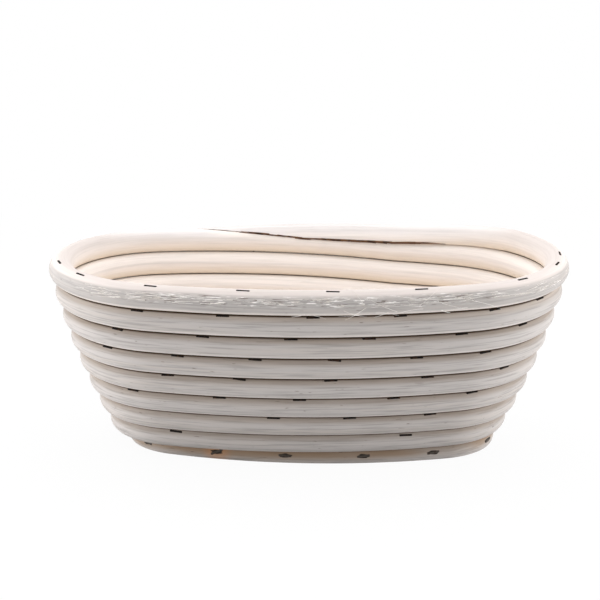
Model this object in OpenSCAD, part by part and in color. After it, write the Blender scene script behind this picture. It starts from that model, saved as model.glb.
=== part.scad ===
// Oval proving basket wound from peeled rattan cane.
// One spiral of cane lies flat in the base, climbs at the back and is wound up the wall,
// each turn on the one below it. The lengths of cane meet in planed scarf joints,
// and steel staples hold every turn to its neighbour.
// Millimetres, +Z up, +X along the basket, -Y is the front, origin under the middle of the base.

/* [Rim] */
// Outside length at the rim
rim_l = 250; // [225:1:275]
// Outside width at the rim
rim_w = 152; // [142:1:170]
// How far the long sides bow out between the round ends
side_bow = 8.5; // [6:0.5:11]

/* [Cane] */
// Diameter of the round cane
cane_d = 11.1; // [10:0.1:12]
// Gap between one turn and the next
coil_gap = 0.5; // [0.45:0.05:0.8]

/* [Wall] */
// Lean of the wall at the base, in degrees from upright
lean_base = 27.5; // [24:0.5:31]
// Lean of the wall at the rim, in degrees from upright
lean_rim = 13; // [9:0.5:16]
// Where the coil starts to climb, along the back side
climb_x = 45; // [35:1:52]

/* [Base] */
// Depth planed off the underside so that the basket stands flat
base_flat = 2.5; // [1.2:0.1:3]
// Where the coil begins, along the front side
start_x = -50; // [-54:1:-40]
// Length of the taper that the coil begins with
start_l = 70; // [50:1:90]

/* [Cane ends] */
// Length of a scarf joint between two lengths of cane
scarf_l = 36; // [26:1:46]
// Thickness of a scarf at its tip
scarf_tip = 1.2; // [1:0.1:2]
// Glue line in a scarf joint
scarf_gap = 0.12; // [0.1:0.02:0.2]
// Where the scarf joints lie, along the back side
scarf_x = -10; // [-30:1:10]
// Length of the wedge that the last cane runs out in
wedge_l = 165; // [130:1:180]
// Thickness of the wedge at its tip
wedge_tip = 1.2; // [1:0.1:2]
// Where the wedge ends, along the back side
wedge_x = -56; // [-60:1:-45]

/* [Staples] */
// Width of a staple across its crown
staple_w = 6.2; // [5:0.1:8]
// Width of the staple wire
wire_w = 1.2; // [0.9:0.1:1.4]
// Thickness of the staple wire
wire_t = 0.7; // [0.5:0.05:0.8]
// Length of a staple leg
leg_l = 14; // [12.5:0.5:15]
// Distance between the staples into the core
core_pitch = 24; // [22:1:25]
// How far outside the top of its turn a wall staple sits, in degrees round the cane
tuck = 31; // [24:1:36]

/* [Hidden] */

// Turns of cane in the flat base, the last part of one included, and in the wall above it
base_turns = 2;
wall_turns = 8;
// Rings of points in one turn, and sides of the cane's section
rings = 36;
sides = 10;
// Steps along a scarf or a wedge
end_steps = 5;
// How fast the climb is finished: 1 is even round the whole turn
climb_ease = 3;
// Straight canes side by side in the middle of the base
core_count = 4;
// Share of a staple crown that is pressed into the cane
crown_sink = 0.6;
// Staples in each course of the wall, from the lowest to the rim,
// and how far along its pitch the first one sits
course_staples = [10, 15, 14, 14, 16, 15, 15, 14];
course_first = [0.9, 0.7, 0.65, 0.05, 0.85, 0.9, 0.2, 0.05];
// The same for the edge of the base
edge_staples = 14;
edge_first = 0.8;

cane_r = cane_d / 2;
step = cane_d + coil_gap;
// The wall's plan is made of four arcs: two round ends, and two bowed sides tangent to them.
// Every turn is drawn about the same four centres, so all turns run parallel.
end_x = (rim_l - rim_w) / 2 + side_bow;
side_y = (end_x ^ 2 - side_bow ^ 2) / (2 * side_bow);
side_extra = norm([end_x, side_y]);
side_half = atan(end_x / side_y);
rim_end_r = rim_w / 2 - cane_r - side_bow;
rim_side_r = rim_end_r + side_extra;
end_arc = rim_end_r * (90 - side_half) * PI / 180;
side_arc = rim_side_r * 2 * side_half * PI / 180;
rim_turn = 4 * end_arc + 2 * side_arc;

// Distance round the rim, from its right end, of a place on the back or the front side
function along_back(x) = end_arc + (acos(x / rim_side_r) - 90 + side_half) * rim_side_r * PI / 180;
function along_front(x) = 3 * end_arc + side_arc + (asin(x / rim_side_r) + side_half) * rim_side_r * PI / 180;

// Turns are counted from where the climb starts: below 0 the coil lies in the base.
climb_at = along_back(climb_x);
front_turn = wall_turns - 1 + (along_front(0) - climb_at) / rim_turn;
last_turn = wall_turns + (along_back(wedge_x) - climb_at) / rim_turn;
scarf_share = (along_back(scarf_x) - climb_at) / rim_turn;
start_share = (along_front(start_x) - climb_at) / rim_turn;

// Direction, in degrees from upright, from one turn to the next one out
function climb(t) = 1 - (1 - t) ^ climb_ease;
function lean(t) =
    t <= 0 ? 90 :
    t < 1 ? acos(climb(t) * cos(lean_base)) :
    lean_base + (lean_rim - lean_base) * (t - 1) / (last_turn - 1);

// Place of the coil in section: how far out it is from where the climb starts, and its height
base_z = cane_r - base_flat;
function place(t) =
    t <= 0 ? [step * t, base_z] :
    place(t - 1) + step * [sin(lean(t)), cos(lean(t))];
front_out = place(front_turn)[0];
function end_r(t) = rim_end_r + place(t)[0] - front_out;

// Direction outwards from the coil, in degrees round the basket
function wrap(s) = s - rim_turn * floor(s / rim_turn);
function facing_at(s) =
    s < end_arc ? s / rim_end_r * 180 / PI :
    s < end_arc + side_arc ? 90 - side_half + (s - end_arc) / rim_side_r * 180 / PI :
    s < 3 * end_arc + side_arc ? 90 + side_half + (s - end_arc - side_arc) / rim_end_r * 180 / PI :
    s < 3 * end_arc + 2 * side_arc ? 270 - side_half + (s - 3 * end_arc - side_arc) / rim_side_r * 180 / PI :
    270 + side_half + (s - 3 * end_arc - 2 * side_arc) / rim_end_r * 180 / PI;
function facing(t) = facing_at(wrap(climb_at + t * rim_turn));

// Point on the plan at a facing, on a turn whose round ends have radius r
function plan(a, r) =
    abs(a - 90) <= side_half ? [(r + side_extra) * cos(a), (r + side_extra) * sin(a) - side_y] :
    abs(a - 270) <= side_half ? [(r + side_extra) * cos(a), (r + side_extra) * sin(a) + side_y] :
    [(abs(a - 180) < 90 ? -end_x : end_x) + r * cos(a), r * sin(a)];
function centre(t) = let (p = plan(facing(t), end_r(t))) [p[0], p[1], place(t)[1]];
function outward(t) = [cos(facing(t)), sin(facing(t)), 0];
function forward(t) = [-sin(facing(t)), cos(facing(t)), 0];
up = [0, 0, 1];

// Directions in the section: up the wall, and square out of the wall
function tilt(t) = t <= 0 ? 0 : t < 1 ? lean_base * climb(t) : lean(t);
function up_wall(t) = sin(tilt(t)) * outward(t) + cos(tilt(t)) * up;
function out_of_wall(t) = cos(tilt(t)) * outward(t) - sin(tilt(t)) * up;

// Length of a turn if it ran all round as the long sides do, and a scarf's length as a share of that
function side_turn(t) = rim_turn * (end_r(t) + side_extra) / rim_side_r;
function scarf_turns(t) = scarf_l / side_turn(t);
function scarf_reach(t) = scarf_turns(t) / 2 * (1 - scarf_tip / cane_r);
wedge_turns = wedge_l / rim_turn;
first_turn = start_share - base_turns;
start_turns = start_l / side_turn(first_turn);

// Turns at which one length of cane ends and the next begins, at the middle of the scarf
base_end = scarf_share;
first_end = 1 + scarf_share;
lower_end = 3 + scarf_share;
upper_end = 5 + scarf_share;

// The cane's section is a polygon. A scarf keeps the part of it below or above the slanting cut,
// with the corners spread along what is left. The wedge thins it from its top,
// and the taper at the start thins it from its inner side. Nothing goes below the floor.
whole = 90 - 180 / sides;
function cut_height(t, joint) = cane_r * (joint - t) / (scarf_turns(joint) / 2);
function cut_angle(h) = min(whole, asin(max(-1, min(1, h / cane_r))));
function below_cut(i, h) = let (a = cut_angle(h - scarf_gap / 2)) 180 - a + i * (180 + 2 * a) / (sides - 1);
function above_cut(i, h) = let (a = cut_angle(-h - scarf_gap / 2)) -a + i * (180 + 2 * a) / (sides - 1);
function corner_angle(i, t, from, to) =
    !is_undef(from) && t < from + scarf_turns(from) / 2 ? above_cut(i, cut_height(t, from)) :
    below_cut((i + sides / 2) % sides, is_undef(to) ? cane_r : cut_height(t, to));
function wedge_share(t) = max(wedge_tip / cane_d, min(1, (last_turn - t) / wedge_turns));
function in_wedge(v, t) = -cane_r + (v + cane_r) * wedge_share(t);
function taper_share(t) = max(scarf_tip / cane_d, min(1, (t - first_turn) / start_turns));
function in_taper(u, t) = cane_r - (cane_r - u) * taper_share(t);
function on_floor(p) = [p[0], p[1], max(p[2], 0)];
function ring(t, from, to) = [
    for (i = [0 : sides - 1])
        let (a = corner_angle(i, t, from, to))
        let (u = in_taper(cane_r * cos(a), t), v = in_wedge(cane_r * sin(a), t))
            on_floor(centre(t) + u * out_of_wall(t) + v * up_wall(t))
];

// Turns at which a length of cane has its rings: even ones, with closer ones along its ends
function even_turns(a, b) = [for (i = [ceil(a * rings + 0.3) : floor(b * rings - 0.3)]) i / rings];
function spread(a, b) = [for (i = [0 : end_steps]) a + (b - a) * i / end_steps];
function stations(a, a_run, b, b_run) =
    concat(spread(a, a + a_run), even_turns(a + a_run, b - b_run), spread(b - b_run, b));

// Length of cane swept along the coil, from one joint to the next
module cane(name, from_turn, to_turn, scarf_from, scarf_to) {
    from_reach = is_undef(scarf_from) ? 0 : scarf_reach(scarf_from);
    to_reach = is_undef(scarf_to) ? 0 : scarf_reach(scarf_to);
    start_run = is_undef(scarf_from) ? start_turns : from_reach + scarf_turns(scarf_from) / 2;
    end_run = is_undef(scarf_to) ? wedge_turns : to_reach + scarf_turns(scarf_to) / 2;
    at = stations(from_turn - from_reach, start_run, to_turn + to_reach, end_run);
    points = [for (t = at) each ring(t, scarf_from, scarf_to)];
    last = (len(at) - 1) * sides;
    walls = [
        for (k = [0 : len(at) - 2], i = [0 : sides - 1])
            let (a = k * sides + i, b = k * sides + (i + 1) % sides)
                each [[a, b, a + sides], [b, b + sides, a + sides]]
    ];
    ends = [
        for (i = [1 : sides - 2])
            each [[0, i + 1, i], [last, last + i, last + i + 1]]
    ];
    polyhedron(points, concat(walls, ends), convexity = 10);
    middles = [for (t = at) centre(t)];
    gaps = [
        for (i = [0 : len(at) - 1], j = [i + 1 : 1 : len(at) - 1])
            if (at[j] - at[i] > 0.5 && at[j] - at[i] < 1.5) norm(middles[i] - middles[j]) - cane_d
    ];
    echo(str(name, ": least gap to itself ", min(gaps), " mm"));
}

// Straight canes that fill the middle of the base side by side, trimmed to the coil round them
start_room = 2 * coil_gap / side_turn(first_turn);
core_edge = [
    for (t = stations(first_turn, start_turns, first_turn + 1 - start_room, 1 / rings))
        plan(facing(t), end_r(t) + in_taper(-cane_r, t) - coil_gap)
];
core_front = min([for (p = core_edge) p[1]]);
core_back = max([for (p = core_edge) p[1]]);
core_step = (core_back - core_front + coil_gap) / core_count;
core_d = core_step - coil_gap;

module core_cane(i) {
    color("burlywood") intersection() {
        translate([-rim_l / 2, core_front + i * core_step + core_d / 2, core_d / 2 - base_flat])
            rotate([0, 90, 0])
                cylinder(d = core_d, h = rim_l, $fn = 48);
        linear_extrude(core_d)
            polygon(core_edge);
    }
}

// Staple: a crown across the top, in the middle of the origin, and two legs pointing down
module staple() {
    translate([-staple_w / 2, -wire_w / 2, -crown_sink * wire_t])
        cube([staple_w, wire_w, wire_t]);
    for (side = [-1, 1])
        translate([side * (staple_w - wire_t) / 2 - wire_t / 2, -wire_w / 2, -leg_l])
            cube([wire_t, wire_w, leg_l]);
}

// Staple whose crown lies along the coil at a turn, on the cane's skin, aimed at a point
module staple_at(t, seat, target) {
    x = forward(t);
    z = (seat - target) / norm(seat - target);
    y = cross(z, x);
    multmatrix([
        [x[0], y[0], z[0], seat[0]],
        [x[1], y[1], z[1], seat[1]],
        [x[2], y[2], z[2], seat[2]],
        [0, 0, 0, 1]
    ])
        staple();
}

// Staples of one course of the wall, driven down into the turn below.
// The courses begin where the rim's wedge ends.
module course(i, seat_tuck) {
    count = course_staples[i - 1];
    color("dimgray") for (k = [0 : count - 1]) {
        t = last_turn - wall_turns + i - 1 + (k + course_first[i - 1]) / count;
        seat_up = in_wedge(cane_r * cos(seat_tuck), t);
        seat = centre(t) + cane_r * sin(seat_tuck) * out_of_wall(t) + seat_up * up_wall(t);
        staple_at(t, seat, centre(t - 1));
    }
}

// Staple driven level through the cane of the base
module level_staple(t) {
    seat = centre(t) + cane_r * outward(t);
    staple_at(t, seat, seat - outward(t));
}

// Staples that hold the first run of the coil to the core
module base_core_staples() {
    color("dimgray") for (x = [-1 : 1])
        level_staple((along_front(x * core_pitch) - climb_at) / rim_turn - base_turns);
}

// Staples round the edge of the base
module base_edge_staples() {
    color("dimgray") for (k = [0 : edge_staples - 1])
        level_staple((k + edge_first) / edge_staples - 1);
}

module base_cane() {
    color("bisque") cane("base_cane", first_turn, base_end, undef, base_end);
}
module first_wall_cane() {
    color("wheat") cane("first_wall_cane", base_end, first_end, base_end, first_end);
}
module lower_wall_cane() {
    color("bisque") cane("lower_wall_cane", first_end, lower_end, first_end, lower_end);
}
module upper_wall_cane() {
    color("wheat") cane("upper_wall_cane", lower_end, upper_end, lower_end, upper_end);
}
module rim_cane() {
    color("bisque") cane("rim_cane", upper_end, last_turn, upper_end, undef);
}

core_cane(0);  // core_cane_front
core_cane(1);  // core_cane_mid_front
core_cane(2);  // core_cane_mid_back
core_cane(3);  // core_cane_back
base_cane();
first_wall_cane();
lower_wall_cane();
upper_wall_cane();
rim_cane();
base_core_staples();
base_edge_staples();
course(1, tuck);  // course_1_staples
course(2, tuck);  // course_2_staples
course(3, tuck);  // course_3_staples
course(4, tuck);  // course_4_staples
course(5, tuck);  // course_5_staples
course(6, tuck);  // course_6_staples
course(7, tuck);  // course_7_staples
course(wall_turns, 0);  // rim_staples
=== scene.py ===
"""Looks of an oval proving basket: wound rattan canes, flat wire staples and frayed fibres."""

import logging
import math
from dataclasses import dataclass
from enum import Enum
from typing import Any, Optional, Sequence

import bpy
import numpy as np
from mathutils import Matrix, Vector


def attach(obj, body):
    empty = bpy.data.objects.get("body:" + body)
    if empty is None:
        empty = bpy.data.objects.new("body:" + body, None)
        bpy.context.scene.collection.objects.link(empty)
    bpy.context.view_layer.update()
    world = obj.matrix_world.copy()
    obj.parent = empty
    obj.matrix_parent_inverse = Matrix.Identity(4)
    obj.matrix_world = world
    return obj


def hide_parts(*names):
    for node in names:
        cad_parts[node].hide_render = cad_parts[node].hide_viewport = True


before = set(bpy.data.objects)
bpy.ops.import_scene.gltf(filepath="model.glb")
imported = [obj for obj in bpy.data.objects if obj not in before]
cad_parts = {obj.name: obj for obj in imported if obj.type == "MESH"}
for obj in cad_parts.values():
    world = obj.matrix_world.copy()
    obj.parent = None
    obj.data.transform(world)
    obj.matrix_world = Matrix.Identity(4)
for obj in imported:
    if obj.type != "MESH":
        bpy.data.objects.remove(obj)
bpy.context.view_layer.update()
LOG = logging.getLogger("proving_basket")
BODY = "root"
MM = 0.001
NEAR = 1e-5
TINY = 1e-12
CANE_CREASE = math.radians(38)
STAPLE_CREASE = math.radians(50)
FIBRE_CREASE = math.radians(80)
WHITE = (1, 1, 1, 1)
EASE = {"interpolation_type": "SMOOTHSTEP"}
Piece = bpy.types.Object
Socket = bpy.types.NodeSocket
Array = np.ndarray
Colour = tuple[float, float, float, float]
Triple = tuple[float, float, float]
Span = tuple[float, float]


# Shader maths


@dataclass
class Value:
    """A number on a socket, whose operators add Math nodes to its graph."""

    graph: "Graph"
    socket: Socket

    def math(self, operation: str, *terms: Any) -> "Value":
        """Returns the result of a Math node on terms, which are values or links in order."""
        node = self.graph.node("ShaderNodeMath", {"operation": operation}, dict(enumerate(terms)))
        return Value(self.graph, node.outputs[0])

    def __add__(self, other: Any) -> "Value":
        """Sum."""
        return self.math("ADD", self, other)

    __radd__ = __add__

    def __sub__(self, other: Any) -> "Value":
        """Difference."""
        return self.math("SUBTRACT", self, other)

    def __rsub__(self, other: Any) -> "Value":
        """Difference, with this value taken away."""
        return self.math("SUBTRACT", other, self)

    def __mul__(self, other: Any) -> "Value":
        """Product."""
        return self.math("MULTIPLY", self, other)

    __rmul__ = __mul__

    def __abs__(self) -> "Value":
        """Size without its sign."""
        return self.math("ABSOLUTE", self)

    def ramp(self, low: float, high: float) -> "Value":
        """Eases from 0 at low to 1 at high, which may be the lower of the two."""
        node = self.graph.node("ShaderNodeMapRange", EASE, {"Value": self, "From Min": low, "From Max": high})
        return Value(self.graph, node.outputs["Result"])


class Graph:
    """Nodes of one material or world."""

    def __init__(self, tree: bpy.types.NodeTree) -> None:
        """Empties the tree."""
        self.tree = tree
        tree.nodes.clear()

    def node(self, kind: str, settings: dict[str, Any], inputs: dict[Any, Any]) -> bpy.types.Node:
        """Adds a node.

        Args:
            kind: The node's type.
            settings: Its own settings, set before its sockets.
            inputs: Values or links by socket name or number.

        Returns:
            The node.
        """
        node = self.tree.nodes.new(kind)
        for name, setting in settings.items():
            setattr(node, name, setting)
        for key, given in inputs.items():
            socket = given.socket if isinstance(given, Value) else given
            if isinstance(socket, Socket):
                self.tree.links.new(socket, node.inputs[key])
            else:
                node.inputs[key].default_value = socket
        return node

    def mix(self, share: Value, first: Any, second: Any) -> Socket:
        """Returns the socket of two colours or links mixed, with a share of the second."""
        node = self.node("ShaderNodeMix", {"data_type": "RGBA"}, {0: share, 6: first, 7: second})
        return node.outputs[2]

    def noise(self, place: Socket, scale: Sequence[float], detail: float) -> Value:
        """Noise that is stretched along the axes of a place.

        Args:
            place: The socket of the place.
            scale: Waves to a metre along each axis.
            detail: Octaves of finer noise.

        Returns:
            The noise, about 0.5 in the middle.
        """
        mapped = self.node("ShaderNodeMapping", {}, {"Vector": place, "Scale": scale})
        inputs = {"Vector": mapped.outputs[0], "Scale": 1.0, "Detail": detail}
        return Value(self, self.node("ShaderNodeTexNoise", {}, inputs).outputs[0])

    def vector(self, operation: str, *terms: Any) -> bpy.types.Node:
        """Adds a Vector Math node on terms, in order."""
        return self.node("ShaderNodeVectorMath", {"operation": operation}, dict(enumerate(terms)))

    def length(self, place: Socket) -> Value:
        """Distance of a place from the origin."""
        return Value(self, self.vector("LENGTH", place).outputs["Value"])

    def kept(self, name: str) -> Socket:
        """Socket of what a piece keeps at its corners under a name."""
        return self.node("ShaderNodeAttribute", {"attribute_name": name}, {}).outputs["Vector"]

    def coordinate(self, kind: str) -> Socket:
        """Socket of one kind of texture coordinate."""
        return self.node("ShaderNodeTexCoord", {}, {}).outputs[kind]

    def parts(self, place: Socket) -> tuple[Value, ...]:
        """Splits a place into its three numbers."""
        node = self.node("ShaderNodeSeparateXYZ", {}, {0: place})
        return tuple(Value(self, socket) for socket in node.outputs)

    def seen(self) -> Value:
        """Tells rays that show the background from those that light the basket.

        Returns:
            1 for the first kind and 0 for the second.
        """
        path = self.node("ShaderNodeLightPath", {}, {})
        names = ("Is Camera Ray", "Is Glossy Ray", "Is Transmission Ray")
        camera, glossy, through = [Value(self, path.outputs[name]) for name in names]
        return camera.math("MINIMUM", camera + glossy + through, 1)

    def blend(self, output: str, share: Value, first: bpy.types.Node, second: bpy.types.Node) -> None:
        """Mixes two shader nodes, with a share of the second, into an output node of a type."""
        inputs = {0: share, 1: first.outputs[0], 2: second.outputs[0]}
        self.node(output, {}, {"Surface": self.node("ShaderNodeMixShader", {}, inputs).outputs[0]})

    def finish(self, surface: dict[str, Any], height: Optional[Value], depth: float) -> None:
        """Adds the surface shader.

        Args:
            surface: Values or links of the shader's sockets.
            height: Relief for the bump, if there is one.
            depth: The relief's depth in metres.
        """
        shader = self.node("ShaderNodeBsdfPrincipled", {}, surface)
        if height is not None:
            relief = {"Height": height, "Strength": 1.0, "Distance": depth}
            bump = self.node("ShaderNodeBump", {}, relief)
            self.tree.links.new(bump.outputs[0], shader.inputs["Normal"])
        self.node("ShaderNodeOutputMaterial", {}, {"Surface": shader.outputs[0]})


# Finishes


class Finish:
    """What every finish shares."""

    def material(self, name: str) -> bpy.types.Material:
        """Builds the finish.

        Args:
            name: The material's name.

        Returns:
            The material.
        """
        material = bpy.data.materials.new(name)
        material.use_nodes = True
        self.paint(Graph(material.node_tree))
        return material

    def paint(self, graph: Graph) -> None:
        """Adds the finish's nodes to an empty graph, in each finish's own way."""
        raise NotImplementedError


@dataclass(frozen=True)
class RattanFinish(Finish):
    """Peeled and bleached rattan, with grain that runs along the cane, and light and shade painted into its
    colour.

    Waves are counted to a metre along the cane, out of the wall and up it. A band runs from where
    a mark begins to where it is full. Staples were punched in at the punches, and some spots are rusty.
    """

    rust_spots: Sequence[Vector]
    punches: Sequence[Vector]
    # Grey of the outward faces: weathering, darkened further as painted shade.
    pale: Colour = (0.452, 0.422, 0.407, 1)
    cream: Colour = (0.94, 0.868, 0.82, 1)
    # Tones of the top-facing skin, painted darker than the cream as shade, but less so on the back's inner
    # tops.
    crest_shade: Colour = (0.665, 0.60, 0.57, 1)
    back_top_tone: Colour = (0.82, 0.775, 0.765, 1)
    streak: Colour = (0.48, 0.425, 0.38, 1)
    grey: Colour = (0.33, 0.31, 0.297, 1)
    shade: Colour = (0.275, 0.222, 0.178, 1)
    warm_underside_shade: Colour = (0.85, 0.73, 0.56, 1)
    fleck: Colour = (0.93, 0.90, 0.88, 1)
    # Dark of the painted shadow between turns, and of pits and frayed dashes.
    groove_shadow: Colour = (0.22, 0.15, 0.10, 1)
    pit_and_groove_shadow: Colour = (0.075, 0.045, 0.027, 1)
    stain: Colour = (0.27, 0.18, 0.11, 1)
    rust: Colour = (0.50, 0.22, 0.08, 1)
    dark: Colour = (0.022, 0.016, 0.012, 1)
    fine_waves: Triple = (38, 1250, 1250)
    broad_waves: Triple = (9, 420, 420)
    patch_waves: Triple = (8, 55, 55)
    pit_waves: Triple = (200, 1500, 1500)
    dash_waves: Triple = (140, 1800, 1800)
    rim_band: Span = (78 * MM, 81 * MM)
    base_band: Span = (22 * MM, 13 * MM)
    back_band: Span = (35 * MM, 60 * MM)
    frayed_band: Span = (-58 * MM, -68 * MM)
    damp_band: Span = (17 * MM, 8 * MM)
    damp_depth: Span = (0, -25 * MM)
    halo_band: Span = (9 * MM, 2 * MM)
    dent_waves: Triple = (325, 325, 1000)
    dent_band: Span = (1.65, 1.45)
    dent_play: float = 1.2
    nip_ease: float = 0.06
    relief: float = 0.22 * MM
    roughness: float = 0.62
    grain_roughness: float = 0.25
    specular: float = 0.25

    def paint(self, graph: Graph) -> None:
        """Adds the finish's nodes.

        Args:
            graph: The material's empty graph.
        """
        bar, place = graph.kept("bar"), graph.coordinate("Object")
        fine = graph.noise(bar, self.fine_waves, 4)
        broad = graph.noise(bar, self.broad_waves, 3)
        patch = graph.noise(bar, self.patch_waves, 2)
        pits = graph.noise(bar, self.pit_waves, 1).ramp(0.73, 0.78)
        dashes = graph.noise(bar, self.dash_waves, 2)
        above, below, outer = graph.parts(graph.kept("shade_and_wear_facing"))
        _, depth, height = graph.parts(place)

        rim = height.ramp(*self.rim_band)
        base = height.ramp(*self.base_band)
        # Outward faces take the grey, partly weathering and partly painted shade; on the rim it starts
        # further out.
        outside = outer.ramp(0.1, 0.7) * (1 - rim) + outer.ramp(0.38, 0.88) * rim
        outwards = outer.ramp(-0.1, 0.3)
        bare = abs(above).ramp(0.15, 0.01)
        upward = bare * (base + below.ramp(0.35, -0.6) * (1 - base))
        front_rim = rim * bare * depth.ramp(*self.frayed_band)
        frayed = front_rim * outer.ramp(0.45, 0.65) * below.ramp(0.05, -0.25)
        low_front = height.ramp(*self.damp_band) * depth.ramp(*self.damp_depth)
        damp = low_front * outer.ramp(-0.2, 0.3) * above.ramp(0.1, 0.8) * patch.ramp(0.42, 0.58)
        nip = above.math("MAXIMUM", above, below) - (1 - outwards) * self.nip_ease

        rusty = []
        for spot in self.rust_spots:
            apart = graph.vector("SUBTRACT", place, spot).outputs[0]
            halo = graph.length(apart).ramp(*self.halo_band)
            rusty.append((halo * patch.ramp(0.25, 0.6) * 0.42, self.rust))
        dented = []
        for punch in self.punches:
            apart = graph.vector("SUBTRACT", place, punch).outputs[0]
            far = graph.length(graph.vector("MULTIPLY", apart, self.dent_waves).outputs[0])
            dented.append(((far + dashes * self.dent_play).ramp(*self.dent_band), self.dark))

        # Painted shade: top-facing skin is darker than the cream, and paler on the back's inner tops; outward
        # faces take the shaded grey.
        top = graph.mix(depth.ramp(*self.back_band) * outer.ramp(0.05, -0.45), self.crest_shade, self.back_top_tone)
        colour = graph.mix(outside, graph.mix(upward, self.cream, top), self.pale)
        layers = [
            # Painted shade: the rim's outer face is greyed to darken it.
            (rim * outside * 0.3, self.grey),
            (broad.ramp(0.45, 0.75) * (0.2 + outside * 0.25), self.streak),
            (fine.ramp(0.46, 0.66) * (0.1 + outside * 0.8), self.grey),
            # Painted shadow: a brown band on each turn, just under the turn above it, darker in patches.
            (above.ramp(0.42, 0.93) * outwards * (0.5 + patch * 0.55), self.shade),
            (damp * 0.8, self.stain),
            *rusty,
            # Painted warm shade on the down-facing skin inside the basket.
            (below.ramp(0.1, 0.95) * (1 - outside) * (0.25 + patch * 0.6), self.warm_underside_shade),
            # Painted highlight: a pale lip along the lower edge of each outer row, in the cream.
            (below.ramp(0.3, 0.65) * outwards * 0.4, self.cream),
            # Painted contact shadow: a thin dark line where each turn meets the next.
            (nip.ramp(0.87, 0.94), graph.mix(outer.ramp(-0.1, 0.25), self.groove_shadow, self.pit_and_groove_shadow)),
            (pits * outside * 0.5 + dashes.ramp(0.60, 0.65) * frayed * 0.7, self.pit_and_groove_shadow),
            (dashes.ramp(0.38, 0.34) * frayed, self.fleck),
            *dented,
        ]
        for share, tint in layers:
            colour = graph.mix(share, colour, tint)

        rough = self.roughness + fine * self.grain_roughness
        surface = {"Base Color": colour, "Roughness": rough, "Specular IOR Level": self.specular}
        graph.finish(surface, fine * 0.6 + broad * 0.7 - pits * 0.5 - dashes * frayed, self.relief)


@dataclass(frozen=True)
class WireFinish(Finish):
    """Dull flat steel wire, spotted with rust, its near-black steel painted as deep shade."""

    steel: Colour = (0.013, 0.011, 0.010, 1)
    rust: Colour = (0.05, 0.028, 0.018, 1)
    waves: Triple = (700, 700, 700)
    spot_band: Span = (0.5, 0.68)
    relief: float = 0.06 * MM
    roughness: float = 0.6
    rust_roughness: float = 0.3
    specular: float = 0.08

    def paint(self, graph: Graph) -> None:
        """Adds the finish's nodes.

        Args:
            graph: The material's empty graph.
        """
        spots = graph.noise(graph.coordinate("Object"), self.waves, 3).ramp(*self.spot_band)
        colour = graph.mix(spots, self.steel, self.rust)
        rough = self.roughness + spots * self.rust_roughness
        surface = {"Base Color": colour, "Roughness": rough, "Specular IOR Level": self.specular}
        graph.finish(surface, spots, self.relief)


@dataclass(frozen=True)
class FibreFinish(Finish):
    """Loose fibres of one colour, darker in places along their length."""

    light: Colour
    dark: Colour
    waves: Triple = (260, 260, 260)
    dark_band: Span = (0.4, 0.65)
    roughness: float = 0.7
    dark_roughness: float = 0.15

    def paint(self, graph: Graph) -> None:
        """Adds the finish's nodes.

        Args:
            graph: The material's empty graph.
        """
        share = graph.noise(graph.coordinate("Object"), self.waves, 3).ramp(*self.dark_band)
        colour = graph.mix(share, self.light, self.dark)
        rough = self.roughness + share * self.dark_roughness
        graph.finish({"Base Color": colour, "Roughness": rough}, None, 0)


@dataclass(frozen=True)
class FloorFinish(Finish):
    """Pale floor that shows white to the camera and keeps a faint shadow near the basket."""

    matt: Colour = (0.8, 0.8, 0.8, 1)
    shadow: float = 0.05
    fade: Span = (0.2, 0.5)

    def paint(self, graph: Graph) -> None:
        """Adds the finish's nodes.

        Args:
            graph: The material's empty graph.
        """
        white = graph.node("ShaderNodeEmission", {}, {"Color": WHITE, "Strength": 1.0})
        matt = graph.node("ShaderNodeBsdfDiffuse", {}, {"Color": self.matt})
        away = graph.length(graph.coordinate("Object"))
        share = graph.seen() * (1 - self.shadow + away.ramp(*self.fade) * self.shadow)
        graph.blend("ShaderNodeOutputMaterial", share, matt, white)


# Meshes


def select(*pieces: Piece) -> None:
    """Selects pieces alone.

    Args:
        pieces: The pieces, the first of which becomes the active one.
    """
    bpy.ops.object.select_all(action="DESELECT")
    for piece in pieces:
        piece.select_set(True)
    bpy.context.view_layer.objects.active = pieces[0]


def mode(name: str) -> None:
    """Goes into edit or object mode."""
    bpy.ops.object.mode_set(mode=name)


def select_by(kind: str) -> None:
    """Readies the active mesh for a choice of its edges or faces, with nothing selected.

    Args:
        kind: EDGE or FACE.
    """
    mode("EDIT")
    bpy.ops.mesh.select_mode(type=kind)
    bpy.ops.mesh.select_all(action="DESELECT")
    mode("OBJECT")


def duplicate(obj: Piece, place: Matrix) -> Piece:
    """Copies an object.

    Args:
        obj: The object, at the origin.
        place: Where the copy's mesh goes.

    Returns:
        The copy, with a mesh of its own.
    """
    copy = obj.copy()
    copy.data = obj.data.copy()
    copy.data.transform(place)
    bpy.context.scene.collection.objects.link(copy)
    return copy


def corners(obj: Piece) -> Array:
    """Returns the places of an object's corners, one to a row."""
    return np.array([corner.co for corner in obj.data.vertices], float)


def straight_bar(name: str, length: float, radius: float, sides: int, cuts: Sequence[int]) -> Piece:
    """Models a straight round bar along +X, cut into rings.

    Args:
        name: The object's name.
        length: The bar's length.
        radius: Its radius.
        sides: Sides of its section.
        cuts: Cuts in each piece of its length, for each round of cutting.

    Returns:
        The bar.
    """
    middle, turned = (length / 2, 0, 0), (0, math.pi / 2, 0)
    sizes = {"vertices": sides, "radius": radius, "depth": length}
    bpy.ops.mesh.primitive_cylinder_add(**sizes, location=middle, rotation=turned)
    bar = bpy.context.object
    bar.name = bar.data.name = name
    bpy.ops.object.transform_apply(location=True, rotation=True, scale=True)
    for count in cuts:
        select_long_edges(bar)
        mode("EDIT")
        bpy.ops.mesh.subdivide(number_cuts=count)
        mode("OBJECT")
    return bar


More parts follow.
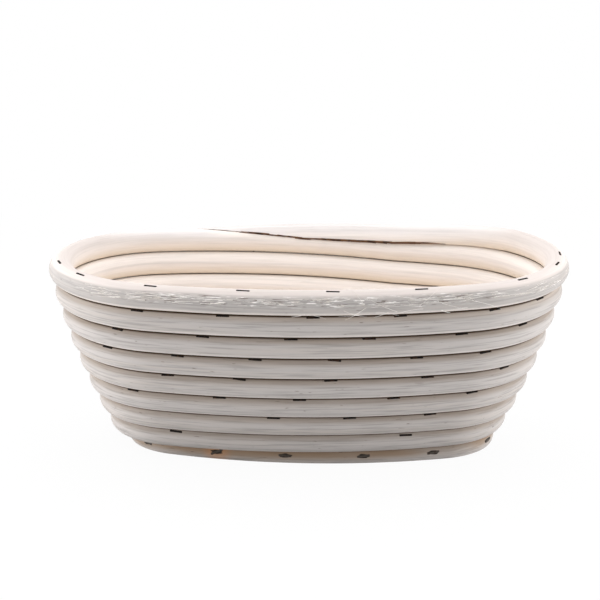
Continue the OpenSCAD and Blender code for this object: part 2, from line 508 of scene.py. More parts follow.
def select_long_edges(bar: Piece) -> None:
    """Selects only the edges that run along a straight bar.

    Args:
        bar: The bar, along X.
    """
    select_by("EDGE")
    along = corners(bar)[:, 0]
    ends = np.empty(len(bar.data.edges) * 2, dtype=np.int32)
    bar.data.edges.foreach_get("vertices", ends)
    run = along[ends.reshape(-1, 2)]
    bar.data.edges.foreach_set("select", np.abs(run[:, 0] - run[:, 1]) > NEAR)


def lay(obj: Piece, places: Array) -> None:
    """Moves an object's corners to places, one to a row."""
    obj.data.vertices.foreach_set("co", places.ravel())
    obj.data.update()


def keep(obj: Piece, name: str, values: Array) -> None:
    """Keeps three numbers at each corner, one to a row, under a name that the finish finds them by."""
    kept = obj.data.attributes.new(name, "FLOAT_VECTOR", "POINT")
    kept.data.foreach_set("vector", values.ravel())


def close_mesh(obj: Piece, angle: float) -> None:
    """Turns faces outwards and shades them smooth.

    Args:
        obj: The object.
        angle: Edges sharper than this stay sharp.
    """
    select(obj)
    mode("EDIT")
    bpy.ops.mesh.select_all(action="SELECT")
    bpy.ops.mesh.normals_make_consistent(inside=False)
    mode("OBJECT")
    bpy.ops.object.shade_smooth_by_angle(angle=angle)


def join(name: str, pieces: Sequence[Piece]) -> Piece:
    """Joins pieces into one object.

    Args:
        name: The joined object's name.
        pieces: The pieces.

    Returns:
        The joined object.
    """
    select(*pieces)
    bpy.ops.object.join()
    pieces[0].name = pieces[0].data.name = name
    return pieces[0]


def dress(obj: Piece, material: bpy.types.Material, nodes: Sequence[str]) -> None:
    """Gives a piece its material, body and slot.

    Args:
        obj: The piece.
        material: Its material.
        nodes: CAD nodes that it stands for.
    """
    obj.data.materials.clear()
    obj.data.materials.append(material)
    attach(obj, BODY)
    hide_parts(*nodes)
    LOG.info("%s: %d faces", obj.name, len(obj.data.polygons))


# The coil


@dataclass
class Coil:
    """Path of the wound cane: flat in the base, then up the flared wall.

    Turns are counted from where the climb starts at the back. Below 0 the coil lies in the base.
    """

    rim_l: float = 250 * MM
    rim_w: float = 152 * MM
    side_bow: float = 8.5 * MM
    cane_d: float = 11.1 * MM
    coil_gap: float = 0.5 * MM
    lean_base: float = math.radians(27.5)
    lean_rim: float = math.radians(13)
    climb_x: float = 45 * MM
    climb_ease: int = 3
    base_flat: float = 2.5 * MM
    base_turns: int = 2
    start_x: float = -50 * MM
    start_l: float = 70 * MM
    start_tip: float = 1.2 * MM
    wall_turns: int = 8
    under_turns: float = 0.2
    wedge_x: float = -56 * MM
    wedge_l: float = 165 * MM
    wedge_droop: float = 6.5 * MM
    wedge_cover: int = 3
    least_wide: float = 0.001
    scarf_x: float = -10 * MM

    def __post_init__(self) -> None:
        """Works out what follows from the driving sizes."""
        self.cane_r = self.cane_d / 2
        # From one turn to the next
        self.step = self.cane_d + self.coil_gap
        # Centres of the round ends and of the bowed sides, from the middle
        self.end_x = (self.rim_l - self.rim_w) / 2 + self.side_bow
        self.side_y = (self.end_x**2 - self.side_bow**2) / (2 * self.side_bow)
        # A side's radius less an end's, and half the angle of its arc
        self.side_extra = math.hypot(self.end_x, self.side_y)
        self.side_half = math.atan(self.end_x / self.side_y)
        # Radii of the rim's ends and sides
        self.rim_end_r = self.rim_w / 2 - self.cane_r - self.side_bow
        self.rim_side_r = self.rim_end_r + self.side_extra
        # Lengths of half an end of the rim, of a side and of its whole turn
        self.end_arc = self.rim_end_r * (math.pi / 2 - self.side_half)
        self.side_arc = self.rim_side_r * 2 * self.side_half
        self.rim_turn = 4 * self.end_arc + 2 * self.side_arc
        # Height of the cane's middle in the base
        self.base_z = self.cane_r - self.base_flat
        # Distance round the rim at which the climb starts
        self.climb_at = self.along_back(self.climb_x)
        # Turns at the middle of the rim's front, the wedge's tip, the coil's start and the first scarf
        self.front_turn = self.wall_turns - 1 + self.turns_to(self.along_front(0))
        self.last_turn = self.wall_turns + self.turns_to(self.along_back(self.wedge_x))
        self.first_turn = self.turns_to(self.along_front(self.start_x)) - self.base_turns
        self.scarf_turn = self.turns_to(self.along_back(self.scarf_x))
        # How far out the middle of the rim's front is from where the climb starts
        self.front_out = float(self.place(np.array([self.front_turn]))[0][0])

    def turns_to(self, along: float) -> float:
        """Share of a turn from where the climb starts to a distance round the rim."""
        return (along - self.climb_at) / self.rim_turn

    def along_back(self, x: float) -> float:
        """Distance round the rim, from its right end, of a place on the back side."""
        turned = math.acos(x / self.rim_side_r) - math.pi / 2
        return self.end_arc + (turned + self.side_half) * self.rim_side_r

    def along_front(self, x: float) -> float:
        """Distance round the rim, from its right end, of a place on the front side."""
        turned = math.asin(x / self.rim_side_r)
        return 3 * self.end_arc + self.side_arc + (turned + self.side_half) * self.rim_side_r

    def climb(self, t: Array) -> Array:
        """How much of the climb is done in the first turn of the wall."""
        return 1 - (1 - np.clip(t, 0, 1)) ** self.climb_ease

    def lean(self, t: Array) -> Array:
        """Angle from upright, from one turn to the next one out."""
        wall = self.lean_base + (self.lean_rim - self.lean_base) * (t - 1) / (self.last_turn - 1)
        return np.where(t < 1, np.arccos(self.climb(t) * math.cos(self.lean_base)), wall)

    def place(self, t: Array) -> tuple[Array, Array]:
        """Place of the coil in section.

        Args:
            t: Turns.

        Returns:
            How far out each is from where the climb starts, and its height.
        """
        out, height, left = np.zeros_like(t), np.zeros_like(t), t.copy()
        while (left > 0).any():
            lean = self.lean(left)
            out += np.where(left > 0, self.step * np.sin(lean), 0)
            height += np.where(left > 0, self.step * np.cos(lean), 0)
            left = np.where(left > 0, left - 1, left)
        return out + self.step * left, height + self.base_z

    def end_r(self, t: Array) -> Array:
        """Radius of the round ends at a turn."""
        return self.rim_end_r + self.place(t)[0] - self.front_out

    def facing(self, t: Array) -> Array:
        """Directions outwards from the coil, which turn evenly along each arc of the rim.

        Args:
            t: Turns.

        Returns:
            Angles round the basket, from its right end.
        """
        end, side, half, quarter = self.end_arc, self.side_arc, self.side_half, math.pi / 2
        stops = np.cumsum([0, end, side, 2 * end, side, end])
        turned = [0, quarter - half, quarter + half, 3 * quarter - half, 3 * quarter + half, 4 * quarter]
        return np.interp(np.mod(self.climb_at + t * self.rim_turn, self.rim_turn), stops, turned)

    def plan(self, angle: Array, r: Array) -> Array:
        """Points on the plan.

        Args:
            angle: Facings.
            r: Radius of the round ends at each.

        Returns:
            The points, one to a row.
        """
        x, y = np.cos(angle), np.sin(angle)
        back = np.abs(angle - math.pi / 2) <= self.side_half
        front = np.abs(angle - 1.5 * math.pi) <= self.side_half
        wide = r + self.side_extra
        end = np.where(np.abs(angle - math.pi) < math.pi / 2, -self.end_x, self.end_x)
        px = np.where(back | front, wide * x, end + r * x)
        py = np.select([back, front], [wide * y - self.side_y, wide * y + self.side_y], r * y)
        return np.stack([px, py], -1)

    def centre(self, t: Array) -> Array:
        """Middle of the cane at each turn, one to a row."""
        flat = self.plan(self.facing(t), self.end_r(t))
        return np.concatenate([flat, self.place(t)[1][:, None]], 1)

    def tilt(self, t: Array) -> Array:
        """Angle of the wall from upright at each turn."""
        return np.where(t < 1, self.lean_base * self.climb(t), self.lean(t))

    def axes(self, t: Array) -> tuple[Array, Array, Array]:
        """Directions of the cane's section.

        Args:
            t: Turns.

        Returns:
            Square out of the wall, up the wall and forward along the cane, one to a row.
        """
        angle, tilt, none = self.facing(t), self.tilt(t), np.zeros_like(t)
        outward = np.stack([np.cos(angle), np.sin(angle), none], 1)
        up = np.stack([none, none, none + 1], 1)
        sine, cosine = np.sin(tilt)[:, None], np.cos(tilt)[:, None]
        forward = np.stack([-np.sin(angle), np.cos(angle), none], 1)
        return cosine * outward - sine * up, sine * outward + cosine * up, forward

    def shade_and_wear_facing(self, t: Array, spot: Array) -> Array:
        """What the finish needs at spots on the cane: which way they face, for the painted shade and the
        frayed and stained marks.

        Args:
            t: Turns.
            spot: Places of the spots from the middle of the cane, one to a row.

        Returns:
            How squarely each faces the turn above, the turn below and the outside, one to a row.
        """
        way = spot / np.linalg.norm(spot, axis=1, keepdims=True)
        middle = self.centre(t)
        faced = []
        for shift, inside in ((1, t < self.last_turn - 1), (-1, t > self.first_turn + 1)):
            aim = self.centre(t + shift) - middle
            aim /= np.linalg.norm(aim, axis=1, keepdims=True)
            squarely = (way * aim).sum(1) * inside
            if shift == 1:
                squarely *= np.clip(self.wedge_cover * self.wedge_share(t + 1, 0), 0, 1)
            faced.append(squarely)
        out, up, _ = self.axes(t)
        u, v = (way * out).sum(1), (way * up).sum(1)
        climbing = np.where(t < self.under_turns, np.maximum(u, -v), u)
        faced.append(np.where(t < -1, -v, climbing))
        return np.stack(faced, 1)

    def side_turn(self, t: float) -> float:
        """Length of a turn if it ran all round as the long sides do."""
        return self.rim_turn * (float(self.end_r(np.array([t]))[0]) + self.side_extra) / self.rim_side_r

    def taper_share(self, t: Array, tip: float) -> Array:
        """Share of the cane that is left in the taper at the coil's start, with a share at its tip."""
        return np.clip((t - self.first_turn) / (self.start_l / self.side_turn(self.first_turn)), tip, 1)

    def wedge_share(self, t: Array, tip: float) -> Array:
        """Share of the cane's depth that is left in the rim's wedge, with a share at its tip."""
        return np.clip((self.last_turn - t) / (self.wedge_l / self.rim_turn), tip, 1)

    def wedge_sag(self, share: Array) -> Array:
        """How far the wedge's edges hang down over the turn below.

        Args:
            share: Share of the cane's depth that is left in the wedge.

        Returns:
            The hang at the cane's sides, no further than on to the turn below.
        """
        wide = np.maximum(4 * share * (1 - share), self.least_wide)
        r = self.step / 2
        room = (self.step - r * (1 + np.sqrt(np.maximum(1 - wide, 0)))) / wide
        return np.minimum(self.wedge_droop * (1 - share), room)


COIL = Coil()


class CaneEnd(Enum):
    """How a length of cane begins or ends."""

    TAPER = "taper"
    SCARF = "scarf"
    WEDGE = "wedge"


@dataclass
class CaneLength:
    """One length of cane, modelled straight and then wound on to the coil."""

    name: str
    start: float
    stop: float
    head: CaneEnd
    tail: CaneEnd
    seed: int
    radius: float = 5.83 * MM
    sides: int = 28
    cuts: tuple[int, int] = (29, 23)
    scarf_l: float = 36 * MM
    tip: float = 0.15 * MM
    scarf_gap: float = 0.03 * MM
    thickness_play: float = 0.006
    long_wave: float = 31 * MM
    short_wave: float = 13.7 * MM
    whole_share: float = 0.999
    short_share: float = 0.7
    twist_turn: float = 0.7
    twist_turns: float = 0.55
    grain_shift: float = 3.7

    def scarf_half(self, joint: float) -> float:
        """Half a scarf's length, in turns."""
        return self.scarf_l / COIL.side_turn(joint) / 2

    def reach(self, joint: float, end: CaneEnd) -> float:
        """How far an end runs past its joint, in turns."""
        return self.scarf_half(joint) * (1 - self.tip / COIL.cane_r) if end is CaneEnd.SCARF else 0

    def build(self) -> Piece:
        """Models the length of cane.

        Returns:
            The wound cane.
        """
        first = self.start - self.reach(self.start, self.head)
        last = self.stop + self.reach(self.stop, self.tail)
        length = (last - first) * COIL.rim_turn
        cane = straight_bar(f"{self.name}_rattan", length, self.radius, self.sides, self.cuts)
        bar = corners(cane)
        turn = first + bar[:, 0] / length * (last - first)
        lay(cane, self.wind(turn, np.arctan2(bar[:, 2], bar[:, 1])))
        self.keep_skin(cane, turn)
        close_mesh(cane, CANE_CREASE)
        return cane

    def keep_skin(self, cane: Piece, turn: Array) -> None:
        """Keeps each corner's place in the straight cane, for the grain, and which way it faces, for the
        painted shade and the frayed and stained marks.

        Args:
            cane: The wound cane.
            turn: Turn of each corner.
        """
        out, up, _ = COIL.axes(turn)
        sunk = 2 * self.radius * (1 - COIL.wedge_share(turn, 0))
        spot = corners(cane) - COIL.centre(turn) + sunk[:, None] * up
        along = (turn + self.grain_shift * self.seed) * COIL.rim_turn
        keep(cane, "bar", np.stack([along, (spot * out).sum(1), (spot * up).sum(1)], 1))
        keep(cane, "shade_and_wear_facing", COIL.shade_and_wear_facing(turn, spot))

    def thickness(self, turn: Array) -> Array:
        """Radius of the cane along its length, which wavers a little.

        Args:
            turn: Turns.

        Returns:
            The radius at each.
        """
        s = turn * COIL.rim_turn
        ripple = self.short_share * np.sin(s / self.short_wave + 2 * self.seed)
        waver = np.sin(s / self.long_wave + self.seed) + ripple
        return self.radius * (1 - self.thickness_play * (0.5 + 0.3 * waver))

    def wind(self, turn: Array, angle: Array) -> Array:
        """Places the straight bar's corners on the coil.

        Args:
            turn: Turn of each corner.
            angle: Angle of each corner round the bar.

        Returns:
            Places, one to a row.
        """
        radius = self.thickness(turn)
        share = np.mod(angle / (2 * math.pi), 1)
        from_top = np.round((np.mod(share - 0.25, 1)) * self.sides).astype(int) % self.sides
        from_below = (from_top + self.sides // 2) % self.sides
        whole = math.pi / 2 - math.pi / self.sides

        def edge(height: Array) -> Array:
            """Angle at which a cut at a height above the middle meets the skin."""
            return np.minimum(whole, np.arcsin(np.clip(height / radius, -1, 1)))

        def above(cut: Array) -> Array:
            """Angles of the corners spread over the part above a cut."""
            return -cut + from_below * (math.pi + 2 * cut) / (self.sides - 1)

        def below(cut: Array) -> Array:
            """Angles of the corners spread over the part below a cut."""
            return math.pi - cut + from_top * (math.pi + 2 * cut) / (self.sides - 1)

        lift = np.zeros_like(turn)
        angles = above(np.full_like(turn, whole))
        out_share = np.ones_like(turn)
        if self.head is CaneEnd.SCARF:
            half = self.scarf_half(self.start)
            cut = radius * (self.start - turn) / half
            angles = np.where(turn < self.start + half, above(edge(-cut - self.scarf_gap / 2)), angles)
        if self.head is CaneEnd.TAPER:
            middle = COIL.place(turn)[1]
            ease = np.clip((self.twist_turn - turn) / self.twist_turns, 0, 1)
            ease = ease * ease * (3 - 2 * ease)
            angles = above(edge(middle)) + ease * COIL.tilt(turn)
            out_share = COIL.taper_share(turn, self.tip / COIL.cane_d)
        if self.tail is CaneEnd.SCARF:
            half = self.scarf_half(self.stop)
            cut = radius * (self.stop - turn) / half
            angles = np.where(turn > self.stop - half, below(edge(cut - self.scarf_gap / 2)), angles)
        if self.tail is CaneEnd.WEDGE:
            share = COIL.wedge_share(turn, self.tip / COIL.cane_d)
            angles = np.where(share < self.whole_share, above(edge((2 * share - 1) * radius)), angles)
            lift = 2 * radius * (share - 1) - COIL.wedge_sag(share) * np.cos(angles) ** 2

        out, up, _ = COIL.axes(turn)
        u = radius - (radius - radius * np.cos(angles)) * out_share
        v = radius * np.sin(angles) + lift
        places = COIL.centre(turn) + u[:, None] * out + v[:, None] * up
        places[:, 2] = np.maximum(places[:, 2], 0)
        return places


@dataclass
class CoreCane:
    """Straight cane in the middle of the base, trimmed to the coil round it."""

    name: str
    row: int
    rows: int = 4
    sides: int = 28
    cuts: tuple[int, ...] = (23,)
    sink: float = 0.15 * MM
    edge_turns: float = 0.997
    edge_points: int = 240

    def edge(self) -> Array:
        """Outlines the space inside the coil.

        Returns:
            Points of the outline, one to a row.
        """
        t = np.linspace(COIL.first_turn, COIL.first_turn + self.edge_turns, self.edge_points)
        share = COIL.taper_share(t, COIL.start_tip / COIL.cane_d)
        inner = COIL.end_r(t) + COIL.cane_r - COIL.cane_d * share - COIL.coil_gap
        return COIL.plan(COIL.facing(t), inner)

    def build(self) -> Piece:
        """Models the cane.

        Returns:
            The trimmed cane.
        """
        edge = self.edge()
        front, back = edge[:, 1].min(), edge[:, 1].max()
        pitch = (back - front + COIL.coil_gap) / self.rows
        full = (pitch - COIL.coil_gap) / 2
        middle_y = front + self.row * pitch + full
        middle_z = full - COIL.base_flat
        radius = full - self.sink
        cane = straight_bar(f"{self.name}_rattan", 1.0, radius, self.sides, self.cuts)
        bar = corners(cane)
        share = np.arctan2(bar[:, 2], bar[:, 1]) / (2 * math.pi)
        turned = np.round(np.mod(share + 0.25, 1) * self.sides) % self.sides
        cut = math.asin(middle_z / radius)
        angle = -cut + turned * (math.pi + 2 * cut) / (self.sides - 1)
        y = middle_y + radius * np.cos(angle)
        ends = np.array([self.reach(edge, value) for value in y])
        x = ends[:, 0] + bar[:, 0] * (ends[:, 1] - ends[:, 0])
        z = middle_z + radius * np.sin(angle)
        lay(cane, np.stack([x, y, z], 1))
        side, rise = (y - middle_y) / radius, (z - middle_z) / radius
        keep(cane, "bar", np.stack([x + self.row, y - middle_y, z - middle_z], 1))
        keep(cane, "shade_and_wear_facing", np.stack([side, -side, -rise], 1))
        close_mesh(cane, CANE_CREASE)
        return cane

    @staticmethod
    def reach(edge: Array, y: float) -> tuple[float, float]:
        """Where a line along the basket meets the outline.

        Args:
            edge: The outline.
            y: The line's place across the basket.

        Returns:
            The line's left and right ends.
        """
        after = np.roll(edge, -1, 0)
        crosses = (edge[:, 1] - y) * (after[:, 1] - y) <= 0
        a, b = edge[crosses], after[crosses]
        run = b - a
        rise = np.where(np.abs(run[:, 1]) < TINY, TINY, run[:, 1])
        x = a[:, 0] + run[:, 0] * np.clip((y - a[:, 1]) / rise, 0, 1)
        return float(x.min()), float(x.max())


# Staples


@dataclass
class Staple:
    """One flat wire staple, modelled once: its crown lies along X and its legs point down."""

    width: float = 6.2 * MM
    wire_w: float = 1.05 * MM
    wire_t: float = 0.7 * MM
    leg: float = 13.8 * MM
    crown_out: float = 0.2 * MM
    rounding: float = 0.2 * MM
    squarely: float = 0.9

    def build(self) -> Piece:
        """Models the staple.

        Returns:
            The staple at the origin.
        """
        half, inner = self.width / 2, self.width / 2 - self.wire_t
        bpy.ops.mesh.primitive_plane_add(size=1, location=(-half + self.wire_t / 2, 0, -self.leg))
        staple = bpy.context.object
        staple.name = staple.data.name = "staple"
        staple.scale = (self.wire_t, self.wire_w, 1)
        bpy.ops.object.transform_apply(location=True, rotation=True, scale=True)
        top = self.crown_out - self.wire_t
        self.draw(staple, "z", -self.leg, -half, self.leg + top)
        self.draw(staple, "z", top, -half, self.wire_t)
        self.draw(staple, "x", -inner, top, 2 * inner)
        self.draw(staple, "x", inner, top, self.wire_t)
        self.draw(staple, "z", top, inner, -self.leg - top)
        select(staple)
        bevel = staple.modifiers.new("rounded", "BEVEL")
        bevel.width = self.rounding
        bevel.segments = 1
        bevel.limit_method = "ANGLE"
        bpy.ops.object.modifier_apply(modifier=bevel.name)
        close_mesh(staple, STAPLE_CREASE)
        return staple

    def draw(self, staple: Piece, axis: str, at: float, past: float, length: float) -> None:
        """Draws the staple's wire on from an end face.

        Args:
            staple: The staple so far.
            axis: The axis that the wire runs along, x or z.
            at: Where on that axis the face is.
            past: Place on the other of the two axes that the face is beyond.
            length: How far the wire goes on.
        """
        select_by("FACE")
        other = "x" if axis == "z" else "z"
        for face in staple.data.polygons:
            there = abs(getattr(face.center, axis) - at) < NEAR and getattr(face.center, other) > past
            face.select = there and abs(getattr(face.normal, axis)) > self.squarely
        move = (length, 0, 0) if axis == "x" else (0, 0, length)
        mode("EDIT")
        bpy.ops.mesh.extrude_region_move(TRANSFORM_OT_translate={"value": move})
        mode("OBJECT")


@dataclass
class StapleRun:
    """Staples of one node, copied from one staple and driven in along the coil."""

    node: str
    turns: Sequence[float]
    tuck: float
    back_tuck: float
    level: bool
    seed: int
    slants: Sequence[float] = ()
    back_from: float = 0.3
    skin: float = 5.8 * MM
    slant_play: float = 0.03

    def seats(self) -> list[Matrix]:
        """Places of the staples.

        Returns:
            A matrix for each staple.
        """
        rng = np.random.default_rng(self.seed)
        t = np.array(self.turns, float)
        out, up, forward = COIL.axes(t)
        middle, below = COIL.centre(t), COIL.centre(t - 1)
        sunk = 2 * self.skin * (1 - COIL.wedge_share(t, 0))
        places = []
        for i in range(len(t)):
            tuck = self.back_tuck if out[i][1] > self.back_from else self.tuck
            rise = self.skin * math.cos(tuck) - sunk[i]
            seat = middle[i] + self.skin * math.sin(tuck) * out[i] + rise * up[i]
            z = Vector(seat - (middle[i] if self.level else below[i])).normalized()
            y = z.cross(Vector(forward[i])).normalized()
            turned = Matrix((y.cross(z), y, z)).transposed().to_4x4()
            by_hand = i < len(self.slants)
            slant = math.radians(self.slants[i]) if by_hand else rng.normal(0, self.slant_play)
            places.append(Matrix.Translation(Vector(seat)) @ turned @ Matrix.Rotation(slant, 4, "Z"))
        return places

    def build(self, staple: Piece) -> Piece:
        """Copies a staple along the run and returns the run as one object."""
        copies = [duplicate(staple, place) for place in self.seats()]
        return join(f"{self.node}_wire", copies)


# Fibres


@dataclass
class FrayedFibres:
    """Loose fibres that stand off the skin of the cane along a stretch of the coil."""

    name: str
    first: float
    last: float
    count: int
    seed: int
    around: tuple[float, float]
    length: tuple[float, float]
    thick: tuple[float, float]
    curl: float
    swing: float
    skin: float = 5.78 * MM
    rings: int = 6
    taper: float = 0.75

    def build(self) -> Piece:
        """Lays the fibres.

        Returns:
            The fibres as one object.
        """
        rng = np.random.default_rng(self.seed)
        model = straight_bar(self.name, 1.0, 1.0, 3, (self.rings - 1,))
        strands = []
        for _ in range(self.count):
            strand = duplicate(model, Matrix())
            lay(strand, self.strand(corners(model), rng))
            strands.append(strand)
        bpy.data.objects.remove(model)
        fibres = join(self.name, strands)
        close_mesh(fibres, FIBRE_CREASE)
        return fibres

    def strand(self, bar: Array, rng: np.random.Generator) -> Array:
        """Lays one fibre along the cane.

        Args:
            bar: Corners of the straight fibre, one metre long and one metre thick.
            rng: Source of the fibre's own sizes.

        Returns:
            Places of its corners.
        """
        t = rng.uniform(self.first, self.last)
        angle = rng.uniform(*self.around)
        length = rng.uniform(*self.length)
        thick = rng.uniform(*self.thick)
        way = rng.choice([-1.0, 1.0])
        lift = abs(rng.normal(0, self.curl))
        swing = rng.normal(0, self.swing)
        s = bar[:, 0]
        turns = t + way * s * length / COIL.side_turn(t)
        round_to = angle + swing * s * length / self.skin
        root, away = self.seat(turns, round_to)
        beside = np.cross(COIL.axes(turns)[2], away)
        off = 0.5 * thick + lift * s * s * length
        body = thick / 2 * (1 - self.taper * s)
        places = root + off[:, None] * away
        return places + (body * bar[:, 1])[:, None] * away + (body * bar[:, 2])[:, None] * beside

    def seat(self, turns: Array, angle: Array) -> tuple[Array, Array]:
        """Where fibres lie on the cane.

        Args:
            turns: Turns along the coil.
            angle: Angles round the cane, from the outside upwards.

        Returns:
            Places on the skin and directions away from it, one to a row.
        """
        out, up, _ = COIL.axes(turns)
        away = np.cos(angle)[:, None] * out + np.sin(angle)[:, None] * up
        return COIL.centre(turns) + self.skin * away, away


@dataclass
class TornEdge(FrayedFibres):
    """Dark splinters along the inner lower edge of the rim's wedge: broken fibres, their dark colour also
    painted shadow in the crevice below.
    """

    def seat(self, turns: Array, angle: Array) -> tuple[Array, Array]:
        """Where splinters lie on the wedge's edge.

        Args:
            turns: Turns along the coil.
            angle: Heights above the edge, in radians of the cane's skin.

        Returns:
            Places on the edge and directions away from it, one to a row.
        """
        out, up, _ = COIL.axes(turns)
        share = COIL.wedge_share(turns, 0)
        wide = 2 * np.sqrt(share * (1 - share))
        u = -self.skin * wide
        v = self.skin * (angle - 1) - COIL.wedge_sag(share) * wide**2
        return COIL.centre(turns) + u[:, None] * out + v[:, None] * up, -out


# The basket and its studio


@dataclass
class Basket:
    """The whole basket: its canes, staples and fibres.

    Staples of the front are listed, in thousandths of a turn from the middle of the front.
    """

    course_staples: Sequence[int] = (10, 15, 14, 14, 16, 15, 15, 14)
    front_staples: Sequence[Sequence[int]] = (
        (-112, 83),
        (-28, 34, 101),
        (-149, -71, -7, 68, 136),
        (-111, -54, 17, 93, 166),
        (-165, -101, -41, 19, 82, 139),
        (-149, -80, -14, 44, 115, 172),
        (-129, -64, 2, 66, 139, 186),
        (-224, -182, -118, -49, 16, 81, 163, 217, 247),
    )
    edge_staples: int = 14
    front_edge_staples: Sequence[int] = (-163, -79, -19, 49, 111, 204)
    edge_slants: Sequence[float] = (-8, 25, -4, 6, 8, 0)
    scarf_turns: Sequence[int] = (0, 1, 3, 5)
    turn_parts: int = 1000
    front_reach: float = 0.2
    front_room: float = 0.04
    core_pitch: float = 24 * MM
    tuck: float = math.radians(23)
    low_tuck: float = math.radians(34)
    edge_tuck: float = math.radians(82)

    def __post_init__(self) -> None:
        """Makes the finishes."""
        edge = COIL.front_turn - COIL.wall_turns + np.array(self.front_edge_staples) / self.turn_parts
        out, up, _ = COIL.axes(edge)
        sides = math.sin(self.edge_tuck) * out + math.cos(self.edge_tuck) * up
        spots = [Vector(spot) for spot in COIL.centre(edge) + StapleRun.skin * sides]
        # A lighter copy of the wire for the staples of the base, painted as steel that catches the light; the
        # others' near-black is painted shade.
        lit_steel = WireFinish((0.075, 0.064, 0.055, 1), (0.05, 0.032, 0.022, 1))
        pale = FibreFinish((0.90, 0.87, 0.84, 1), (0.76, 0.71, 0.66, 1))
        # Dark brown of the splinters: broken fibres, and painted shadow in the crevice under the rim's wedge.
        splinter_shade = FibreFinish((0.20, 0.10, 0.05, 1), (0.06, 0.03, 0.02, 1))
        self.rattan = RattanFinish(spots[1:2], spots).material("peeled_rattan")
        self.wire = WireFinish().material("staple_wire")
        self.lit_wire = lit_steel.material("lit_staple_wire")
        self.pale_fibre = pale.material("pale_fibre")
        self.splinter_shade_fibre = splinter_shade.material("splinter_shade_fibre")

    def course_turns(self, course: int, count: int, front: Sequence[int]) -> list[float]:
        """Turns of a course's staples: those of the front as listed, and the rest evenly round the back.

        Args:
            course: The course, 0 at the edge of the base.
            count: Its staples.
            front: Places of those of the front.

        Returns:
            The turns, the front ones first.
        """
        middle = COIL.front_turn - COIL.wall_turns + course
        start = COIL.last_turn - COIL.wall_turns + course - 1
        placed = [place / self.turn_parts for place in front]
        left = middle + min(-self.front_reach, placed[0] - self.front_room) - start
        right = start + 1 - middle - max(self.front_reach, placed[-1] + self.front_room)
        rest = count - len(front)
        before = round(rest * left / (left + right))
        after = rest - before
        turns = [middle + place for place in placed]
        turns += [start + left * (k + 0.5) / before for k in range(before)]
        return turns + [start + 1 - right * (k + 0.5) / after for k in range(after)]

    def build_canes(self) -> None:
        """Builds and dresses the canes."""
        first, second, third, fourth = [turn + COIL.scarf_turn for turn in self.scarf_turns]
        scarf = CaneEnd.SCARF
        canes = [
            CaneLength("base_cane", COIL.first_turn, first, CaneEnd.TAPER, scarf, seed=0),
            CaneLength("first_wall_cane", first, second, scarf, scarf, seed=1, cuts=(19, 19)),
            CaneLength("lower_wall_cane", second, third, scarf, scarf, seed=2),
            CaneLength("upper_wall_cane", third, fourth, scarf, scarf, seed=3),
            CaneLength("rim_cane", fourth, COIL.last_turn, scarf, CaneEnd.WEDGE, seed=4, cuts=(35, 29)),
        ]
        for cane in canes:
            dress(cane.build(), self.rattan, [cane.name])
        for row, name in enumerate(("front", "mid_front", "mid_back", "back")):
            core = CoreCane(f"core_cane_{name}", row)
            dress(core.build(), self.rattan, [core.name])

    def build_staples(self) -> None:
        """Builds and dresses the staples."""
        staple = Staple().build()
        flat, low = math.pi / 2, self.edge_tuck
        core = [COIL.turns_to(COIL.along_front(x * self.core_pitch)) - COIL.base_turns for x in (-1, 0, 1)]
        edge = self.course_turns(0, self.edge_staples, self.front_edge_staples)
        runs = [
            StapleRun("base_core_staples", core, flat, flat, level=True, seed=1),
            StapleRun("base_edge_staples", edge, low, low, level=True, seed=2, slants=self.edge_slants),
        ]
        for i, (count, front) in enumerate(zip(self.course_staples, self.front_staples)):
            rim = i == COIL.wall_turns - 1
            name = "rim_staples" if rim else f"course_{i + 1}_staples"
            turns = self.course_turns(i + 1, count, front)
            tuck = self.low_tuck if i == 0 else self.tuck
            tuck = 0 if rim else tuck
            runs.append(StapleRun(name, turns, tuck, max(tuck, self.tuck), level=False, seed=10 + i))
        for run in runs:
            # Staples of the base take the lighter, lit copy of the wire.
            wire = self.lit_wire if run.level else self.wire
            dress(run.build(staple), wire, [run.node])
        bpy.data.objects.remove(staple)

    def build_fibres(self) -> None:
        """Builds and dresses the frayed fibres."""
        front, tip = COIL.front_turn, COIL.last_turn
        hair, thread, splinter = (0.15 * MM, 0.32 * MM), (0.2 * MM, 0.3 * MM), (0.45 * MM, 0.95 * MM)
        short, long = (2 * MM, 9 * MM), (7 * MM, 15 * MM)
        groups = [
            FrayedFibres(
                "rim_fibres", front - 0.17, front + 0.2, count=190, seed=3, around=(0.2, 0.85),
                length=short, thick=hair, curl=0.08, swing=0.08,
            ),
            FrayedFibres(
                "stray_fibres", front - 0.01, front + 0.12, count=18, seed=5, around=(-0.7, 0.4),
                length=long, thick=thread, curl=0.25, swing=0.6,
            ),
            TornEdge(
                "wedge_fibres", tip - 0.075, tip - 0.012, count=45, seed=9, around=(-0.02, 0.03),
                length=short, thick=hair, curl=0.0, swing=0.01,
            ),
            TornEdge(
                "splinter_shade_fibres", tip - 0.19, tip - 0.05, count=85, seed=8, around=(-0.03, 0.10),
                length=long, thick=splinter, curl=0.0, swing=0.01,
            ),
        ]
        for group in groups:
            finish = self.splinter_shade_fibre if isinstance(group, TornEdge) else self.pale_fibre
            dress(group.build(), finish, [])


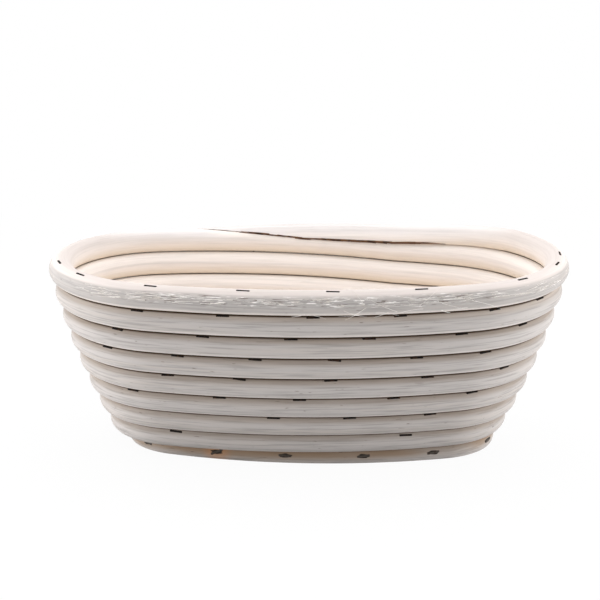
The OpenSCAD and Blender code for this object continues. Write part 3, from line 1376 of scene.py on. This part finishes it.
class Studio:
    """Floor, light and camera."""

    target = Vector((0, 0, 47.6 * MM))
    distance = 1.0
    elevation = math.radians(17.136)
    yaw = math.radians(-0.957)
    roll = math.radians(0.885)
    focal_px = 2034.26
    centre_px = (307.244, 343.349)
    image_px = 600
    sensor_mm = 36
    floor_size = 6
    floor_z = -0.2 * MM
    ambient = 0.65
    sky = 0.75
    sky_fade = (-0.75, 0.3)
    lamps = (
        ("top_light", (0, 0.2, 1.3), (1.2, 1.2), 6.5),
        ("front_light", (0, -0.95, 1.2), (1.0, 1.0), 1),
        ("left_light", (-1.3, 0, 0.05), (1.0, 0.09), 13),
        ("right_light", (1.3, 0, 0.05), (1.0, 0.09), 11.5),
    )

    def build(self) -> None:
        """Sets up the scene round the basket."""
        self.floor()
        self.light()
        self.camera()
        bpy.context.scene.view_settings.view_transform = "Standard"

    def floor(self) -> None:
        """Lays the floor."""
        bpy.ops.mesh.primitive_plane_add(size=self.floor_size, location=(0, 0, self.floor_z))
        plane = bpy.context.object
        plane.name = plane.data.name = "floor"
        plane.data.materials.append(FloorFinish().material("pale_floor"))

    def light(self) -> None:
        """Adds a sky, dimmer in front, a soft lamp above, a weak one in front and low strips at the sides."""
        world = bpy.data.worlds.new("studio")
        world.use_nodes = True
        bpy.context.scene.world = world
        graph = Graph(world.node_tree)
        _, toward, _ = graph.parts(graph.coordinate("Generated"))
        glow = self.ambient + toward.ramp(*self.sky_fade) * self.sky
        sky = graph.node("ShaderNodeBackground", {}, {"Color": WHITE, "Strength": glow})
        white = graph.node("ShaderNodeBackground", {}, {"Color": WHITE, "Strength": 1.0})
        graph.blend("ShaderNodeOutputWorld", graph.seen(), sky, white)
        for lamp in self.lamps:
            self.lamp(*lamp)

    def lamp(self, name: str, place: Sequence[float], size: Sequence[float], power: float) -> None:
        """Adds a flat lamp that points at the basket.

        Args:
            name: The lamp's name.
            place: Where it hangs.
            size: Its width and height.
            power: Its power in watts.
        """
        data = bpy.data.lights.new(name, "AREA")
        data.shape = "RECTANGLE"
        data.size, data.size_y = size
        data.energy = power
        lamp = bpy.data.objects.new(name, data)
        lamp.location = place
        lamp.rotation_euler = (self.target - Vector(place)).to_track_quat("-Z", "Y").to_euler()
        bpy.context.scene.collection.objects.link(lamp)

    def camera(self) -> None:
        """Puts the camera at the photograph's angle."""
        flat = math.cos(self.elevation)
        back = Vector((math.sin(self.yaw) * flat, -math.cos(self.yaw) * flat, math.sin(self.elevation)))
        right = Vector((math.cos(self.yaw), math.sin(self.yaw), 0))
        up = back.cross(right)
        turned = Matrix((right, up, back)).transposed().to_4x4() @ Matrix.Rotation(self.roll, 4, "Z")
        data = bpy.data.cameras.new("photo_camera")
        data.sensor_width = self.sensor_mm
        data.lens = self.focal_px * data.sensor_width / self.image_px
        data.shift_x = (self.image_px / 2 - self.centre_px[0]) / self.image_px
        data.shift_y = (self.centre_px[1] - self.image_px / 2) / self.image_px
        camera = bpy.data.objects.new("photo_camera", data)
        camera.matrix_world = Matrix.Translation(self.target + back * self.distance) @ turned
        bpy.context.scene.collection.objects.link(camera)
        bpy.context.scene.camera = camera


def main() -> None:
    """Builds the basket and its studio."""
    logging.basicConfig(level=logging.INFO, format="%(name)s: %(message)s")
    basket = Basket()
    basket.build_canes()
    basket.build_staples()
    basket.build_fibres()
    Studio().build()


if __name__ == "__main__":
    main()
